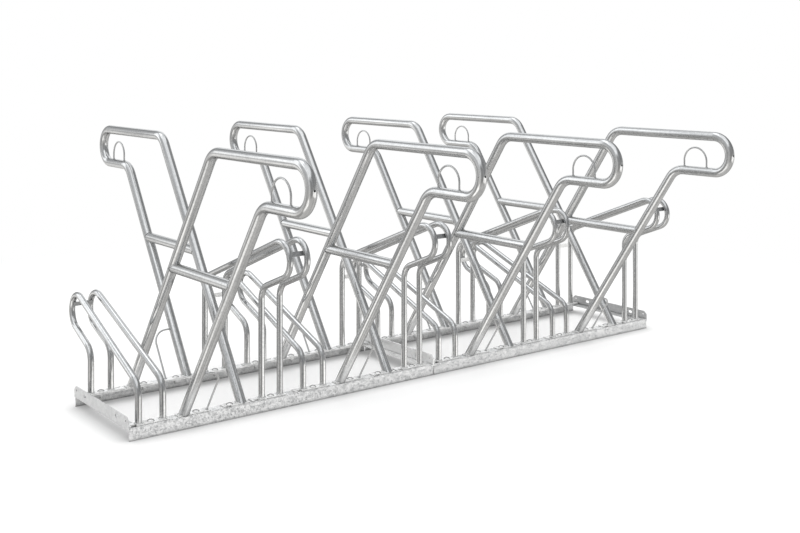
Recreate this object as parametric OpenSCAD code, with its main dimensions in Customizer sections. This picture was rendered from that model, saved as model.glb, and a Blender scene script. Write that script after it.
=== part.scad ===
// Two tier bike rack: wheel holders at two heights and leaning lock frames on a pair of angle rails.
// The origin is on the floor under the middle of the rack; +X runs along it and the front is -Y.

/* [Layout] */
// Length along the rack that one low and one high place share
unit_pitch = 750; // [640:10:900]
// From the middle of a unit to the middle of each wheel holder
holder_offset = 270; // [250:1:300]
// From the middle of a unit to each lock frame
frame_offset = 130; // [115:1:150]
// From the middle of the rack to the line that the feet stand on
foot_line = 246; // [236:1:290]

/* [Rails] */
// Width of each leg of a rail's angle section
rail_leg = 50; // [46:1:70]
// Wall of a rail's angle section
rail_wall = 5; // [4:0.5:6]
// From the rail's outer face to the line of the feet
foot_inset = 29; // [26:0.5:32]
// Outer corner radius of a rail
rail_corner = 3; // [1:0.5:3.5]
// Fillet between the legs of a rail
rail_fillet = 5; // [2:0.5:6]

/* [Cross members] */
// Width of each leg of a cross member's angle section
member_leg = 50; // [46:1:60]
// Wall of a cross member
member_wall = 4; // [3:0.5:6]
// Cut off the upright's top corners, measured across the rack
chamfer_width = 18; // [8:1:22]
// Cut off the upright's top corners, measured in height
chamfer_height = 16; // [8:1:20]
// Length of the slots for the joint bolts
slot_length = 26; // [22:1:34]
// Width of the slots for the joint bolts
slot_width = 14; // [13:0.5:16]
// From the middle of the rack to the middle of each slot
slot_offset = 160; // [120:1:190]
// Height of the slots above the rails
slot_height = 20; // [16:0.5:24]
// Bore of the round holes outside the slots
link_hole = 9.5; // [8:0.5:11]
// From the middle of the rack to each round hole
link_offset = 250; // [236:1:256]
// Height of the round holes above the rails
link_height = 24; // [18:0.5:28]
// Bore of the ground anchor holes
anchor_hole = 12; // [9:0.5:14]
// From a module's end face to its anchor hole
anchor_inset = 24; // [18:0.5:30]

/* [Lock frames] */
// Outside diameter of the frame tube
frame_tube = 42.4; // [38:0.1:46]
// Wall of the frame tube
frame_wall = 3.2; // [2:0.1:4]
// Lean of the legs from the vertical, in degrees
lean = 35; // [28:1:38]
// Height of the top tube's centre line above the rails
top_height = 1058; // [1000:1:1100]
// Radius of the loop at the free end, at its centre line
loop_radius = 83; // [78:1:95]
// Radius of the bends in the legs, at their centre line
frame_bend_radius = 90; // [70:1:100]
// From the middle of the rack to the outermost point of the loop
reach = 1200; // [1180:1:1260]
// Height of the crossbar's centre line above the rails
crossbar_height = 571; // [450:1:700]
// Bore of the vent hole at the end of the loop
vent_hole = 8; // [4:0.5:9]

/* [Lock eyes and rods] */
// Diameter of the bent rod
rod_size = 8; // [6:0.5:10]
// Width of the lock eye between its centre lines
eye_width = 126; // [100:1:134]
// Height of the lock eye's centre line above the lower tube's centre line
eye_rise = 109.5; // [90:0.5:120]
// From the middle of the loop back to the middle of the eye
eye_offset = 107; // [100:1:116]
// From a frame's leg to the foot of its lock rod
rod_offset = 101; // [85:1:110]
// Height of the rod's level run above the rails
rod_height = 187; // [140:1:240]
// Radius of the bend in the lock rod
rod_bend_radius = 60; // [40:1:64]

/* [Wheel holders] */
// Outside diameter of the holder tube
holder_tube = 26.9; // [24:0.1:30]
// Wall of the holder tube
holder_wall = 2.6; // [1.6:0.1:3.2]
// Distance between a holder's bars where the wheel rolls in
entry_spacing = 101.5; // [96:0.5:110]
// Distance between a holder's bars at the feet under the nose
nose_spacing = 88; // [84:0.5:94]
// Rise of the sloping run from the horizontal, in degrees
rise = 21; // [16:1:24]
// Height of the low holders' sloping run above the rails, at the middle of the rack
low_height = 246.5; // [230:0.5:320]
// Height of the high holders' sloping run above the rails, at the middle of the rack
high_height = 524.5; // [480:0.5:600]
// From the middle of the rack to the outermost point of the nose's centre line
nose_reach = 466; // [450:1:500]
// Radius of the nose at its centre line
nose_radius = 74; // [70:1:82]
// Radius of the bends above the feet, at their centre line
holder_bend_radius = 70; // [50:1:75]
// Width of the flat straps between a holder's bars
strap_width = 20; // [15:0.5:25]
// Thickness of the flat straps
strap_thickness = 5; // [3:0.5:6]
// Angle of the nose strap above the middle of the nose, in degrees
strap_angle = 28; // [10:1:45]
// Height of the strap between the tall legs, above the rails
leg_strap_height = 342; // [150:1:380]

/* [Foot plates] */
// Width of a foot plate across its rail
plate_width = 40; // [34:1:44]
// Thickness of a foot plate
plate_thickness = 4; // [3:0.5:6]
// Length of a plate past the tube, rod or notch at its end
plate_margin = 8; // [5:0.5:12]
// Length of the locating notch along the rail
notch_length = 24; // [16:1:26]
// From the middle of a holder to the middle of its notch
holder_notch_offset = 77; // [75:0.5:82]
// From the line of the feet out to the near edge of a holder's notch
holder_notch_inset = 4; // [3:0.5:10]
// From a frame's leg to the middle of its notch
frame_notch_offset = 68.5; // [66:0.5:72]
// From the line of the feet out to the near edge of a frame's notch
frame_notch_inset = 12.5; // [10:0.5:15]

/* [Fasteners] */
// Thread diameter of all bolts
bolt_size = 12; // [10:0.5:12]
// Diameter of the cup head
cup_size = 30; // [24:0.5:32]
// Height of the cup head
cup_height = 7; // [5:0.5:9]
// Length of the square neck under the cup head
neck_length = 8; // [4:0.5:8.5]
// Length of a cup bolt under its head
cup_bolt_length = 30; // [28:0.5:36]
// From a frame's leg to its cup bolt
frame_bolt_offset = 54; // [50:0.5:58]
// Size of nuts and bolt heads across the flats
nut_size = 18; // [17:0.5:19]
// Height of a nut
nut_height = 10.8; // [8:0.1:12]
// Outside diameter of a washer
washer_size = 24; // [22:0.5:26]
// Thickness of a washer
washer_thickness = 2.5; // [1.5:0.1:3]
// Height of a joint bolt's hexagon head
hex_height = 7.5; // [6:0.1:9]
// Length of a joint bolt under its head
joint_bolt_length = 30; // [28:0.5:40]

/* [Fits] */
// Gap all round a bolt in its hole
bolt_gap = 0.5; // [0.3:0.1:1]
// Gap between a nut's bore and its bolt
thread_gap = 0.1; // [0.05:0.05:0.2]
// How much thinner all round a crossbar is than the legs that its ends seat on
weld_gap = 0.1; // [0.05:0.05:0.3]
// Gap between a cross member's foot and the rail's fillet
member_gap = 1; // [0.5:0.5:3]

/* [Hidden] */
$fn = 48;
// How far every cutter runs past what it cuts
overrun = 2;
// Width and rise of the rings where straight runs meet bends
seam_width = 1;
seam_rise = 0.02;
unit_count = 4;
module_count = 2;
units_per_module = unit_count / module_count;
units = [1:unit_count];
feet_sides = [-1, 1];

module_length = units_per_module * unit_pitch;
rail_outer = foot_line + foot_inset;
flange_bottom = rail_leg - rail_wall;
plate_top = rail_leg + plate_thickness;
member_bottom = flange_bottom - member_wall;
member_top = member_bottom + member_leg;

frame_radius = frame_tube / 2;
holder_radius = holder_tube / 2;
rod_radius = rod_size / 2;
bolt_radius = bolt_size / 2;
nut_corner = nut_size / sqrt(3);

leg_turn = 90 - lean;
leg_tangent = frame_bend_radius * tan(leg_turn / 2);
leg_spare = frame_radius * tan(lean);
loop_middle = reach - frame_radius - loop_radius;
lower_height = top_height - 2 * loop_radius;
far_corner = top_height * tan(lean) - foot_line;
near_corner = lower_height * tan(lean) + foot_line;

foot_turn = 90 - rise;
foot_tangent = holder_bend_radius * tan(foot_turn / 2);
nose_middle = nose_reach - nose_radius;
nose_span = 2 * nose_radius / cos(rise);
toe = atan((entry_spacing - nose_spacing) / (4 * foot_line));
mean_spacing = (entry_spacing + nose_spacing) / 2;

holder_plate_start = -holder_notch_offset - notch_length / 2 - plate_margin;
entry_plate_end = entry_spacing / 2 + holder_radius + plate_margin;
nose_plate_end = nose_spacing / 2 + holder_radius + plate_margin;
far_plate_start = -frame_notch_offset - notch_length / 2 - plate_margin;
near_plate_start = -rod_offset - rod_radius - plate_margin;
frame_plate_end = frame_radius + plate_margin;

RAIL_NAMES = ["front_rail_left", "front_rail_right", "back_rail_right", "back_rail_left"];
MEMBER_NAMES = ["left_end_member", "left_middle_member", "right_middle_member", "right_end_member"];
FRAME_NAMES = ["front_frame", "back_frame"];
CROSSBAR_NAMES = ["front_crossbar", "back_crossbar"];
EYE_NAMES = ["front_lock_eye", "back_lock_eye"];
ROD_NAMES = ["front_lock_rods", "back_lock_rods"];
HOLDER_NAMES = ["low_holder", "high_holder"];
BAR_NAMES = ["left_bar", "right_bar"];
GROUP_NAMES = [
    "nose_straps", "leg_straps", "holder_foot_plates", "frame_foot_plates", "cup_bolts",
    "foot_washers", "foot_nuts", "joint_bolts", "joint_washers", "joint_nuts"
];

function numbered(names) = [for (name = names, i = units) str(name, "_", i)];
function bar_name(holder, i, bar) = str(holder, "_", i, "_", bar);

function unit_middle(i) = (i - (unit_count + 1) / 2) * unit_pitch;

// Places its children at a wheel holder: tier 0 is low with its nose to the back, tier 1 is high, turned round
module at_holder(tier, i) {
    translate([unit_middle(i) + (2 * tier - 1) * holder_offset, 0, 0])
        rotate(180 * tier)
            children();
}

// Places its children at a lock frame: side 0 leans to the front, side 1 to the back
module at_frame(side, i) {
    translate([unit_middle(i) + (2 * side - 1) * frame_offset, 0, 0])
        rotate(180 * (1 - side))
            children();
}

// Fine ring where a straight run meets a bend, which joins the two into one solid
module seam(radius) {
    translate([0, 0, -seam_width / 2])
        cylinder(h = seam_width, r = radius + seam_rise);
}

// Round bar along straight runs and bends, from the origin along +Z and bending towards +X;
// each step is a straight length, a bend radius and a turn in degrees
module bent_bar(steps, radius, at = 0) {
    straight = steps[at][0];
    bend = steps[at][1];
    turn = steps[at][2];
    cylinder(h = straight, r = radius);
    if (at > 0)
        seam(radius);
    if (turn != 0)
        translate([0, 0, straight]) {
            seam(radius);
            translate([sign(turn) * bend, 0, 0])
                rotate([90, 0, turn > 0 ? 180 : 0])
                    rotate_extrude(angle = abs(turn))
                        translate([bend, 0])
                            circle(radius);
            translate([sign(turn) * bend * (1 - cos(turn)), 0, bend * sin(abs(turn))])
                rotate([0, turn, 0])
                    bent_bar(steps, radius, at + 1);
        }
}

// Tube with a bore that runs on past both ends
module bent_tube(steps, radius, wall) {
    last = len(steps) - 1;
    longer = [for (i = [0:last]) [steps[i][0] + (i == 0 || i == last ? overrun : 0), steps[i][1], steps[i][2]]];
    difference() {
        bent_bar(steps, radius);
        translate([0, 0, -overrun])
            bent_bar(longer, radius - wall);
    }
}

// Stands a path that was drawn in the XZ plane up in the plane of a frame or bar, which runs along Y
module along_rack_depth() {
    rotate(90)
        children();
}

// Everything below the top of the foot plates, over the depth of the rails
module below_plates() {
    depth = 2 * (rail_outer + frame_tube);
    translate([-depth / 2, -depth / 2, -rail_leg])
        cube([depth, depth, rail_leg + plate_top]);
}

// The corner that a round of this radius leaves between two edges
module corner_piece(radius) {
    difference() {
        square(radius);
        translate([radius, radius])
            circle(radius);
    }
}

module angle_section(leg, wall, corner, fillet) {
    difference() {
        union() {
            square([leg, wall]);
            square([wall, leg]);
            if (fillet > 0)
                translate([wall, wall])
                    corner_piece(fillet);
        }
        corner_piece(corner);
    }
}

// Square hole through a foot plate and the flange under it, at the origin of the line of feet
module neck_hole() {
    width = bolt_size + 2 * bolt_gap;
    translate([-width / 2, -width / 2, flange_bottom - overrun])
        cube([width, width, plate_top - flange_bottom + 2 * overrun]);
}

// Locating notch through a foot plate and the flange, outside the line of feet on the -Y side
module notch(inset) {
    depth = foot_inset - rail_wall - inset;
    translate([-notch_length / 2, -inset - depth, flange_bottom - overrun])
        cube([notch_length, depth, plate_top - flange_bottom + 2 * overrun]);
}

// What the fasteners and notches of a wheel holder take out of its plates and rails
module holder_foot_cuts() {
    for (turn = [0, 180])
        rotate(turn)
            translate([0, -foot_line, 0]) {
                neck_hole();
                translate([-holder_notch_offset, 0, 0])
                    notch(holder_notch_inset);
            }
}

// The same for a lock frame, whose far foot has a notch and whose near foot carries the lock rod
module frame_foot_cuts() {
    for (side = feet_sides)
        translate([-frame_bolt_offset, side * foot_line, 0])
            neck_hole();
    translate([-frame_notch_offset, -foot_line, 0])
        notch(frame_notch_inset);
}

// Front rail of one module, centred on that module
module rail(first_unit) {
    length = module_length - 2 * member_wall;
    middle = unit_middle(first_unit) + (units_per_module - 1) / 2 * unit_pitch;
    color([0.76, 0.77, 0.77])
        difference() {
            translate([middle - length / 2, -rail_outer, rail_leg])
                rotate([0, 90, 0])
                    linear_extrude(length)
                        angle_section(rail_leg, rail_wall, rail_corner, rail_fillet);
            for (i = [first_unit:first_unit + units_per_module - 1]) {
                for (tier = [0, 1])
                    at_holder(tier, i)
                        holder_foot_cuts();
                for (side = [0, 1])
                    at_frame(side, i)
                        frame_foot_cuts();
            }
        }
}

// Slot along Y through the upright, drawn flat
module slot_outline() {
    straight = (slot_length - slot_width) / 2;
    for (side = feet_sides)
        translate([side * straight, 0])
            circle(d = slot_width);
    square([2 * straight, slot_width], center = true);
}

// Cross member with its outer face on X = 0 and its foot pointing to +X
module cross_member() {
    depth = 2 * rail_outer;
    foot_end = rail_outer - rail_wall - rail_fillet - member_gap;
    chamfer = [
        [rail_outer - chamfer_width, member_top + overrun],
        [rail_outer - chamfer_width, member_top],
        [rail_outer, member_top - chamfer_height],
        [rail_outer + overrun, member_top - chamfer_height],
        [rail_outer + overrun, member_top + overrun]
    ];
    color([0.78, 0.79, 0.79])
        difference() {
            translate([0, rail_outer, member_bottom])
                rotate([90, 0, 0])
                    linear_extrude(depth)
                        angle_section(member_leg, member_wall, member_wall / 2, 0);
            for (turn = [0, 180])
                rotate([turn, 0, 0])
                    translate([member_wall, foot_end, -member_top])
                        cube([member_leg, rail_outer, 2 * member_top]);
            for (side = [0, 1])
                mirror([0, side, 0]) {
                    translate([-overrun, 0, 0])
                        rotate([90, 0, 90])
                            linear_extrude(member_wall + 2 * overrun)
                                polygon(chamfer);
                    translate([-overrun, slot_offset, rail_leg + slot_height])
                        rotate([90, 0, 90])
                            linear_extrude(member_wall + 2 * overrun)
                                slot_outline();
                    translate([-overrun, link_offset, rail_leg + link_height])
                        rotate([0, 90, 0])
                            cylinder(h = member_wall + 2 * overrun, d = link_hole);
                }
            translate([anchor_inset, 0, member_bottom - overrun])
                cylinder(h = member_wall + 2 * overrun, d = anchor_hole);
        }
}

// One tube bent into both legs, the top and lower tubes and the loop; it leans to +Y
module lock_frame() {
    steps = [
        [leg_spare + top_height / cos(lean) - leg_tangent, frame_bend_radius, leg_turn],
        [loop_middle - far_corner - leg_tangent, loop_radius, 180],
        [loop_middle - near_corner - leg_tangent, frame_bend_radius, -leg_turn],
        [leg_spare + lower_height / cos(lean) - leg_tangent, 0, 0]
    ];
    color([0.70, 0.72, 0.73])
        difference() {
            translate([0, -foot_line, rail_leg])
                along_rack_depth()
                    rotate([0, lean, 0])
                        translate([0, 0, -leg_spare])
                            bent_tube(steps, frame_radius, frame_wall);
            below_plates();
            translate([0, loop_middle + loop_radius, rail_leg + lower_height + loop_radius])
                rotate([-90, 0, 0])
                    cylinder(h = frame_radius + overrun, d = vent_hole);
        }
}

// Stretch of a leg around the height where something is welded to it; side -1 is the far leg
module leg_core(side, height, radius) {
    span = 2 * frame_tube;
    translate([0, side * foot_line, rail_leg])
        rotate([-lean, 0, 0])
            translate([0, 0, height / cos(lean) - span])
                cylinder(h = 2 * span, r = radius);
}

// Tube between the legs, its ends cut to the legs' round
module crossbar() {
    far_axis = crossbar_height * tan(lean) - foot_line;
    color([0.70, 0.72, 0.73])
        difference() {
            translate([0, far_axis, rail_leg + crossbar_height])
                rotate([-90, 0, 0])
                    difference() {
                        cylinder(h = 2 * foot_line, r = frame_radius - weld_gap);
                        translate([0, 0, -overrun])
                            cylinder(h = 2 * (foot_line + overrun), r = frame_radius - frame_wall);
                    }
            for (side = feet_sides)
                leg_core(side, crossbar_height, frame_radius);
        }
}

// Rod bent into an arch on the lower tube
module lock_eye() {
    eye_radius = eye_width / 2;
    straight = eye_rise - eye_radius;
    steps = [
        [straight, eye_radius, 180],
        [straight, 0, 0]
    ];
    color([0.74, 0.75, 0.76])
        difference() {
            translate([0, loop_middle - eye_offset - eye_radius, rail_leg + lower_height])
                along_rack_depth()
                    bent_bar(steps, rod_radius);
            translate([0, near_corner, rail_leg + lower_height])
                rotate([-90, 0, 0])
                    cylinder(h = loop_middle - near_corner, r = frame_radius);
        }
}

// Rod that stands beside the near leg and bends over to it
module lock_rod() {
    rod_spare = rod_radius * tan(lean);
    steps = [
        [rod_spare + rod_height / cos(lean) - rod_bend_radius, rod_bend_radius, 90],
        [rod_offset - rod_bend_radius, 0, 0]
    ];
    difference() {
        translate([0, foot_line, rail_leg])
            rotate([-lean, 0, 0])
                translate([-rod_offset, 0, -rod_spare])
                    bent_bar(steps, rod_radius);
        below_plates();
        leg_core(1, rod_height, frame_radius);
    }
}

// One bent bar of a wheel holder; side -1 is the left bar of a low holder, and the nose points to +Y
module holder_bar(side, height) {
    entry_corner = height - foot_line * tan(rise);
    nose_corner = height + foot_line * tan(rise) - nose_span;
    slope_end = nose_middle - nose_radius * sin(rise);
    return_start = nose_middle + nose_radius * sin(rise);
    steps = [
        [entry_corner - foot_tangent - plate_thickness, holder_bend_radius, foot_turn],
        [(slope_end + foot_line) / cos(rise) - foot_tangent, nose_radius, 180],
        [(return_start - foot_line) / cos(rise) - foot_tangent, holder_bend_radius, -foot_turn],
        [nose_corner - foot_tangent - plate_thickness, 0, 0]
    ];
    color([0.68, 0.69, 0.69])
        translate([side * mean_spacing / 2, 0, 0])
            rotate(side * toe)
                translate([0, -foot_line, plate_top])
                    along_rack_depth()
                        bent_tube(steps, holder_radius, holder_wall);
}

// Flat bar across the inside of a holder's nose
module nose_strap(height) {
    inside = nose_radius - holder_radius;
    face_radius = sqrt(inside * inside - strap_width * strap_width / 4);
    bar_distance = mean_spacing - 2 * (nose_middle + face_radius * cos(strap_angle)) * tan(toe);
    nose_height = height + nose_middle * tan(rise) - nose_span / 2;
    translate([0, nose_middle, rail_leg + nose_height])
        rotate([strap_angle, 0, 0])
            translate([-bar_distance / 2, face_radius - strap_thickness, -strap_width / 2])
                cube([bar_distance, strap_thickness, strap_width]);
}

// Flat bar between the two tall legs of a high holder, cut to the legs' round
module leg_strap() {
    difference() {
        translate([0, -foot_line, rail_leg + leg_strap_height])
            cube([entry_spacing, strap_thickness, strap_width], center = true);
        for (side = feet_sides)
            translate([side * entry_spacing / 2, -foot_line, rail_leg + leg_strap_height - strap_width])
                cylinder(h = 2 * strap_width, r = holder_radius);
    }
}

module foot_plate(start, end) {
    translate([start, -foot_line - plate_width / 2, rail_leg])
        cube([end - start, plate_width, plate_thickness]);
}

// Both foot plates of one wheel holder
module holder_plates() {
    difference() {
        union() {
            foot_plate(holder_plate_start, entry_plate_end);
            rotate(180)
                foot_plate(holder_plate_start, nose_plate_end);
        }
        holder_foot_cuts();
    }
}

// Both foot plates of one lock frame
module frame_plates() {
    difference() {
        union() {
            foot_plate(far_plate_start, frame_plate_end);
            mirror([0, 1, 0])
                foot_plate(near_plate_start, frame_plate_end);
        }
        frame_foot_cuts();
    }
}

// Repeats its children at every bolt on the line of feet
module at_foot_bolts() {
    for (i = units) {
        for (tier = [0, 1])
            at_holder(tier, i)
                for (side = feet_sides)
                    translate([0, side * foot_line, 0])
                        children();
        for (frame = [0, 1])
            at_frame(frame, i)
                for (side = feet_sides)
                    translate([-frame_bolt_offset, side * foot_line, 0])
                        children();
    }
}

module cup_bolt() {
    cup_radius = cup_size / 2;
    ball_radius = (cup_radius * cup_radius + cup_height * cup_height) / (2 * cup_height);
    translate([0, 0, plate_top]) {
        intersection() {
            translate([0, 0, cup_height - ball_radius])
                sphere(ball_radius);
            translate([-cup_size, -cup_size, 0])
                cube([2 * cup_size, 2 * cup_size, cup_size]);
        }
        translate([-bolt_radius, -bolt_radius, -neck_length])
            cube([bolt_size, bolt_size, neck_length]);
        translate([0, 0, -cup_bolt_length])
            cylinder(h = cup_bolt_length, r = bolt_radius);
    }
}

// Washer that lies under the origin
module washer() {
    translate([0, 0, -washer_thickness])
        difference() {
            cylinder(h = washer_thickness, d = washer_size);
            translate([0, 0, -overrun])
                cylinder(h = washer_thickness + 2 * overrun, r = bolt_radius + bolt_gap);
        }
}

// Nut that hangs under the origin
module nut() {
    translate([0, 0, -nut_height])
        difference() {
            cylinder(h = nut_height, r = nut_corner, $fn = 6);
            translate([0, 0, -overrun])
                cylinder(h = nut_height + 2 * overrun, r = bolt_radius + thread_gap);
        }
}

// Repeats its children at the joint bolts between the modules, with +Z turned to -X;
// the origin is on the outer face of the left module's last member
module at_joint_bolts() {
    for (side = feet_sides)
        translate([-member_wall, side * slot_offset, rail_leg + slot_height])
            rotate([0, -90, 0])
                children();
}

module joint_bolt() {
    translate([0, 0, washer_thickness]) {
        cylinder(h = hex_height, r = nut_corner, $fn = 6);
        translate([0, 0, -joint_bolt_length])
            cylinder(h = joint_bolt_length, r = bolt_radius);
    }
}

module rail_part(k) {
    rotate(k < 2 ? 0 : 180)
        rail(k % 2 * units_per_module + 1);
}

module member_part(k) {
    module_middle = (floor(k / 2) - (module_count - 1) / 2) * module_length;
    translate([module_middle, 0, 0])
        rotate(k % 2 * 180)
            translate([-module_length / 2, 0, 0])
                cross_member();
}

module nose_straps() {
    color([0.52, 0.54, 0.54])
        for (i = units) {
            at_holder(0, i)
                nose_strap(low_height);
            at_holder(1, i)
                nose_strap(high_height);
        }
}

module leg_straps() {
    color([0.52, 0.54, 0.54])
        for (i = units)
            at_holder(1, i)
                leg_strap();
}

module lock_rods(side) {
    color([0.74, 0.75, 0.76])
        for (i = units)
            at_frame(side, i)
                lock_rod();
}

module holder_foot_plates() {
    color([0.80, 0.81, 0.81])
        for (i = units, tier = [0, 1])
            at_holder(tier, i)
                holder_plates();
}

module frame_foot_plates() {
    color([0.80, 0.81, 0.81])
        for (i = units, side = [0, 1])
            at_frame(side, i)
                frame_plates();
}

module cup_bolts() {
    color([0.86, 0.87, 0.87])
        at_foot_bolts()
            cup_bolt();
}

module foot_washers() {
    color([0.66, 0.67, 0.68])
        at_foot_bolts()
            translate([0, 0, flange_bottom])
                washer();
}

module foot_nuts() {
    color([0.62, 0.63, 0.64])
        at_foot_bolts()
            translate([0, 0, flange_bottom - washer_thickness])
                nut();
}

module joint_bolts() {
    color([0.66, 0.67, 0.68])
        at_joint_bolts()
            joint_bolt();
}

module joint_washers() {
    color([0.66, 0.67, 0.68])
        at_joint_bolts() {
            translate([0, 0, washer_thickness])
                washer();
            translate([0, 0, -2 * member_wall])
                washer();
        }
}

module joint_nuts() {
    color([0.62, 0.63, 0.64])
        at_joint_bolts()
            translate([0, 0, -2 * member_wall - washer_thickness])
                nut();
}

for (k = [0:3])
    rail_part(k);
for (k = [0:3])
    member_part(k);
for (side = [0, 1], i = units) {
    at_frame(side, i) lock_frame();
    at_frame(side, i) crossbar();
    at_frame(side, i) lock_eye();
}
for (tier = [0, 1], i = units, k = [0, 1])
    at_holder(tier, i)
            holder_bar((2 * k - 1) * (1 - 2 * tier), [low_height, high_height][tier]);
for (side = [0, 1])
    lock_rods(side);
nose_straps();
leg_straps();
holder_foot_plates();
frame_foot_plates();
cup_bolts();
foot_washers();
foot_nuts();
joint_bolts();
joint_washers();
joint_nuts();
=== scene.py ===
import math
import random
from typing import NamedTuple

import bmesh
import bpy
from bpy.props import FloatProperty, FloatVectorProperty, PointerProperty
from bpy.types import Operator, Panel, PropertyGroup
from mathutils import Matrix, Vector


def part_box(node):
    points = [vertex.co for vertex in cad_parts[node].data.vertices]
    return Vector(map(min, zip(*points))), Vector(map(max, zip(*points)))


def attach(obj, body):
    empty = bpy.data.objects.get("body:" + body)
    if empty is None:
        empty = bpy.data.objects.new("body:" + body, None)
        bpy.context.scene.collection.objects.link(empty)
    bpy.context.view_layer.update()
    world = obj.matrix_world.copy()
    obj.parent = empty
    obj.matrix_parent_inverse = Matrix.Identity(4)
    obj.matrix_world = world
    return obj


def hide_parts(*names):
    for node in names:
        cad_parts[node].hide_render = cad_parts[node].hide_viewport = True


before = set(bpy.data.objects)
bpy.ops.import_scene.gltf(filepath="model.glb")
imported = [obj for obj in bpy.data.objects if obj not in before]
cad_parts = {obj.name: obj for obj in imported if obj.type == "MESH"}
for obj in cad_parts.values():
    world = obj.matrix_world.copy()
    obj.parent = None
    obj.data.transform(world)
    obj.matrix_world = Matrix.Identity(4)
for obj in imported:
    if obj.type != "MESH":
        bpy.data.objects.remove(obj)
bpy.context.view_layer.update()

bl_info = {
    "name": "Two Tier Bike Rack",
    "version": (1, 0, 0),
    "blender": (4, 5, 0),
    "location": "3D View > Sidebar > Bike Rack",
    "description": "Dresses a two tier bike rack in galvanised steel and stands it in a plain studio",
    "category": "Object",
}

BODY = "root"
SIDES = ("front", "back")
UNITS = range(1, 5)

RAILS = ("front_rail_left", "front_rail_right", "back_rail_right", "back_rail_left")
END_MEMBERS = ("left_end_member", "right_end_member")
JOINT_MEMBERS = ("left_middle_member", "right_middle_member")
FRAMES = [f"{side}_frame_{i}" for side in SIDES for i in UNITS]
CROSSBARS = [f"{side}_crossbar_{i}" for side in SIDES for i in UNITS]
EYES = [f"{side}_lock_eye_{i}" for side in SIDES for i in UNITS]
RODS = [f"{side}_lock_rods" for side in SIDES]
BARS = [f"{tier}_holder_{i}_{bar}_bar"
        for tier in ("low", "high") for i in UNITS for bar in ("left", "right")]
STRAPS = ("nose_straps", "leg_straps")
PLATES = ("holder_foot_plates", "frame_foot_plates")

SAME_PLACE = 1e-6   # corners closer than this are one corner
SAME_HEIGHT = 1e-4  # points of a foot's lowest ring are level within this
ALONG_RACK = Vector((1, 0, 0))
UPWARD = Vector((0, 0, 1))
WHITE = (1, 1, 1, 1)
BLACK = (0, 0, 0, 1)


def metres(name, description, default, low, high):
    """Length in metres that isn't under low; high is where its slider ends"""
    return FloatProperty(
        name=name, description=description, default=default, min=low, soft_max=high, unit="LENGTH")


def factor(name, description, default, low=0, high=1):
    """Share of something, from low to high"""
    return FloatProperty(
        name=name, description=description, default=default, min=low, max=high, subtype="FACTOR")


def tilt(name, description, default):
    """Angle from the vertical, up to 60 degrees"""
    return FloatProperty(
        name=name, description=description, default=default, min=0, max=math.radians(60), subtype="ANGLE")


def brightness(name, description, default):
    """Brightness of a light or a wall"""
    return FloatProperty(name=name, description=description, default=default, min=0, soft_max=2)


def tint(name, description, default):
    """Colour with alpha"""
    return FloatVectorProperty(
        name=name, description=description, default=default, size=4, min=0, max=1, subtype="COLOR")


def position(name, description, default):
    """Place in the rack's frame, in metres"""
    return FloatVectorProperty(
        name=name, description=description, default=default, size=3, unit="LENGTH", subtype="TRANSLATION")


class ZincSettings(PropertyGroup):
    """The zinc coat that every piece of the rack came out of the bath with"""
    light_colour: tint("Light Zinc", "Colour of the brightest crystals", (0.84, 0.84, 0.835, 1))
    dark_colour: tint("Dark Zinc", "Colour of the dullest crystals", (0.36, 0.365, 0.37, 1))
    spangle_size: metres("Spangle Size", "Width of a zinc crystal on the tubes", 0.009, 0.001, 0.05)
    streak_length: metres(
        "Streak Length", "Length of the runs that the draining zinc left along a tube", 0.45, 0.02, 2)
    roughness: factor("Roughness", "Roughness of the coat on a tube", 0.20, 0.05, 1)
    roughness_spread: factor(
        "Roughness Spread", "How far dull crystals are rougher and bright ones smoother", 0.10, 0, 0.5)
    scuff_shade: factor("Scuff Shade", "How much darker the coat is where it was rubbed", 0.12)
    scuff_roughness: factor(
        "Scuff Roughness", "How much rougher the coat is where it was rubbed", 0.10, 0, 0.5)
    # The next two settings set the painted shade in the coat's inner corners
    shading_reach: metres("Shading Reach", "How far from an inner corner the grime reaches", 0.003, 0.0005, 0.02)
    shading_depth: factor("Shading Depth", "Share of the light that the grime takes in a corner", 0.7)
    # Painted shade: the rails and end members are painted darker towards the floor, up to this height
    floor_shade_height: metres("Shadow Height", "How far up from the floor the rails are shaded", 0.014, 0.001, 0.1)
    relief: metres("Relief", "Height of the ripples in the coat", 0.0002, 0, 0.002)
    edge_round: metres(
        "Edge Round", "How far the zinc rounds off the cut edges of flat steel", 0.0003, 0.0001, 0.002)


class WeldSettings(PropertyGroup):
    """The beads where tubes, rods and straps meet what carries them"""
    tube_bead: metres("Tube Bead", "Radius of a bead round a tube", 0.0032, 0.001, 0.006)
    rod_bead: metres("Rod Bead", "Radius of a bead round a rod or along a strap", 0.0019, 0.0005, 0.004)
    ripple_pitch: metres("Ripple Pitch", "Distance between the ripples of a bead", 0.0032, 0.001, 0.01)
    ripple_depth: factor("Ripple Depth", "Depth of the ripples as a share of the bead", 0.14, 0, 0.5)
    leg_lean: tilt("Leg Lean", "Lean of the lock frames' legs from the vertical", math.radians(35))
    strap_lean: tilt("Strap Lean", "Tilt of the nose straps from the vertical", math.radians(28))
    strap_width: metres("Strap Width", "Width of the flat bar of the straps", 0.020, 0.005, 0.05)
    strap_thickness: metres("Strap Thickness", "Thickness of the flat bar of the straps", 0.005, 0.001, 0.01)


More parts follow.
